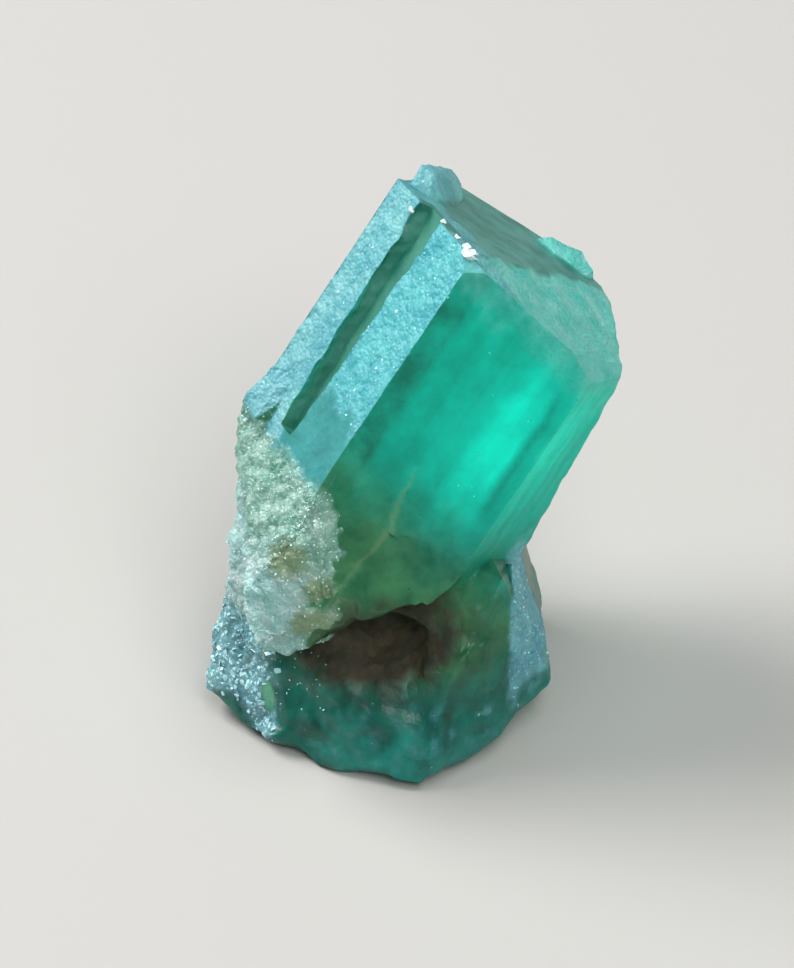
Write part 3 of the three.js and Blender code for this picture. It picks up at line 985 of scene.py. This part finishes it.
# %% Sugar chips
CHIP_KINDS = [
    (crust * (1 - rust) * (1 - pale_crust), 1500, 0.05, 0.15, (0.22, 0.60, 0.46), (0.72, 1.0, 0.93)),
    (pale_crust * (1 - rust), 1100, 0.05, 0.15, (0.40, 0.90, 0.86), (0.85, 1.0, 1.0)),
    (frosted_left + 2 * flake, 320, 0.06, 0.16, (0.10, 0.60, 0.70), (0.70, 0.98, 1.0)),
    (speckled, 30, 0.05, 0.12, (0.10, 0.40, 0.34), (0.45, 0.80, 0.78)),
    (painted_glow_tint, 26, 0.04, 0.08, (0.30, 0.80, 0.70), (0.70, 1.0, 0.95)),
]
SUNK = 0.2
CHIP_FLATNESS = 1
WHITE_CHIP = (0.85, 1.0, 1.0)
EDGE_CHIPS = [
    (-3.15, -4.8, -0.1, 0.7),
    (-3.3, -4.3, 0.0, 0.55),
    (-3.0, -4.6, 0.0, 0.45),
    (-3.6, -3.6, 0.0, 0.3),
    (-4.2, -2.4, 0.0, 0.34),
    (-5.2, -1.45, -0.5, 0.34),
]

chip_places, chip_sizes, chip_tints, _ = scatter_kinds(CHIP_KINDS, SUNK)
edge_places = [np.array(prism_frame @ Vector(chip[:3])) for chip in EDGE_CHIPS]
nearest = [int(np.argmin(np.linalg.norm(moved - place, axis=1))) for place in edge_places]
sugar_chips = joined_chips(
    "sugar_chips",
    np.concatenate((chip_places, moved[nearest])),
    np.concatenate((chip_sizes, [chip[3] for chip in EDGE_CHIPS])),
    np.concatenate((chip_tints, np.tile(WHITE_CHIP, (len(EDGE_CHIPS), 1)))),
    CHIP_FLATNESS,
)

# %% [markdown]
# Mica splits into thin plates, and each flashes when it faces the light. The same chips, made flat and laid
# along the surface, do that.

# %% Mica plates
PLATE_KINDS = [
    (mica, 950, 0.09, 0.27, (0.16, 0.52, 0.64), (0.66, 0.98, 1.0)),
    (stray_mica, 90, 0.05, 0.13, (0.10, 0.42, 0.46), (0.50, 0.90, 0.95)),
]
PLATE_FLATNESS = 0.18

plate_places, plate_sizes, plate_tints, plate_normals = scatter_kinds(PLATE_KINDS, 0)
mica_plates = joined_chips(
    "mica_plates", plate_places, plate_sizes, plate_tints, PLATE_FLATNESS, plate_normals
)

# %% [markdown]
# The crystals are too small to look through, so their material is not clear. It takes each crystal's own
# tint, and clouds make some parts of it darker. Mica is a little glossier than sugar.

# %% Materials of the tiny crystals
SUGAR_ROUGHNESS = 0.22
MICA_ROUGHNESS = 0.18
SHADED = (0.7, 0.7, 0.7)
UNSHADED = (1, 1, 1)


def chip_material(name, roughness):
    finish = Finisher(name)
    product = finish.nodes.new("ShaderNodeMix")
    product.data_type = "RGBA"
    product.blend_type = "MULTIPLY"
    product.inputs["Factor"].default_value = 1
    finish.links.new(finish.attribute("tint", "Color"), product.inputs["A"])
    finish.links.new(finish.mix(finish.pattern("clouds"), SHADED, UNSHADED), product.inputs["B"])
    finish.links.new(product.outputs["Result"], finish.shader.inputs["Base Color"])
    finish.shader.inputs["Roughness"].default_value = roughness
    return finish.material


sugar_chips.data.materials.append(chip_material("sugar", SUGAR_ROUGHNESS))
mica_plates.data.materials.append(chip_material("mica", MICA_ROUGHNESS))
print("the tiny crystals have their materials")

# %% [markdown]
# A plain pale floor catches the shadow. It belongs to the stage and not to the stone.

# %% Floor
FLOOR_SIZE = 3
FLOOR_COLOUR = (0.44, 0.43, 0.41, 1)
FLOOR_ROUGHNESS = 0.7

bpy.ops.mesh.primitive_plane_add(size=FLOOR_SIZE)
floor = bpy.context.object
floor.name = "floor"
floor_finish = Finisher("pale_floor")
floor_finish.shader.inputs["Base Color"].default_value = FLOOR_COLOUR
floor_finish.shader.inputs["Roughness"].default_value = FLOOR_ROUGHNESS
floor.data.materials.append(floor_finish.material)
print("the floor is", FLOOR_SIZE, "m wide")

# %% [markdown]
# A wide window stands behind the stone on the left. It lights the frosted face and shines through the
# stone to the right. A weaker light above the camera keeps the clear face from going black, and a soft one
# overhead shows the worn end. Few bounces are enough for a stone that absorbs so much.

# %% Lights
WORLD_COLOUR = (0.9, 0.95, 1, 1)
WORLD_STRENGTH = 0.2
LIGHTS = [
    ("window", (-0.28, 0.16, 0.32), 0.22, 2.4),
    ("fill", (0.10, -0.22, 0.30), 0.2, 0.8),
    ("top", (0.08, 0.04, 0.40), 0.25, 0.6),
]

world = bpy.data.worlds.new("studio")
world.use_nodes = True
world.node_tree.nodes["Background"].inputs["Color"].default_value = WORLD_COLOUR
world.node_tree.nodes["Background"].inputs["Strength"].default_value = WORLD_STRENGTH
scene.world = world
for name, place, size, power in LIGHTS:
    data = bpy.data.lights.new(name, "AREA")
    data.size = size
    data.energy = power
    light = bpy.data.objects.new(name, data)
    light.location = place
    light.rotation_euler = (AIM - light.location).to_track_quat("-Z", "Y").to_euler()
    scene.collection.objects.link(light)
scene.view_settings.view_transform = "Standard"
scene.cycles.max_bounces = 8
scene.cycles.transmission_bounces = 8
scene.cycles.diffuse_bounces = 2
scene.cycles.adaptive_threshold = 0.03
print("made", len(LIGHTS), "lights")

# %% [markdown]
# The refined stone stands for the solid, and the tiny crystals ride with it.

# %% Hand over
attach(stone, "root")
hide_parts("emerald_crystal")
for piece in (sugar_chips, mica_plates):
    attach(piece, "root")
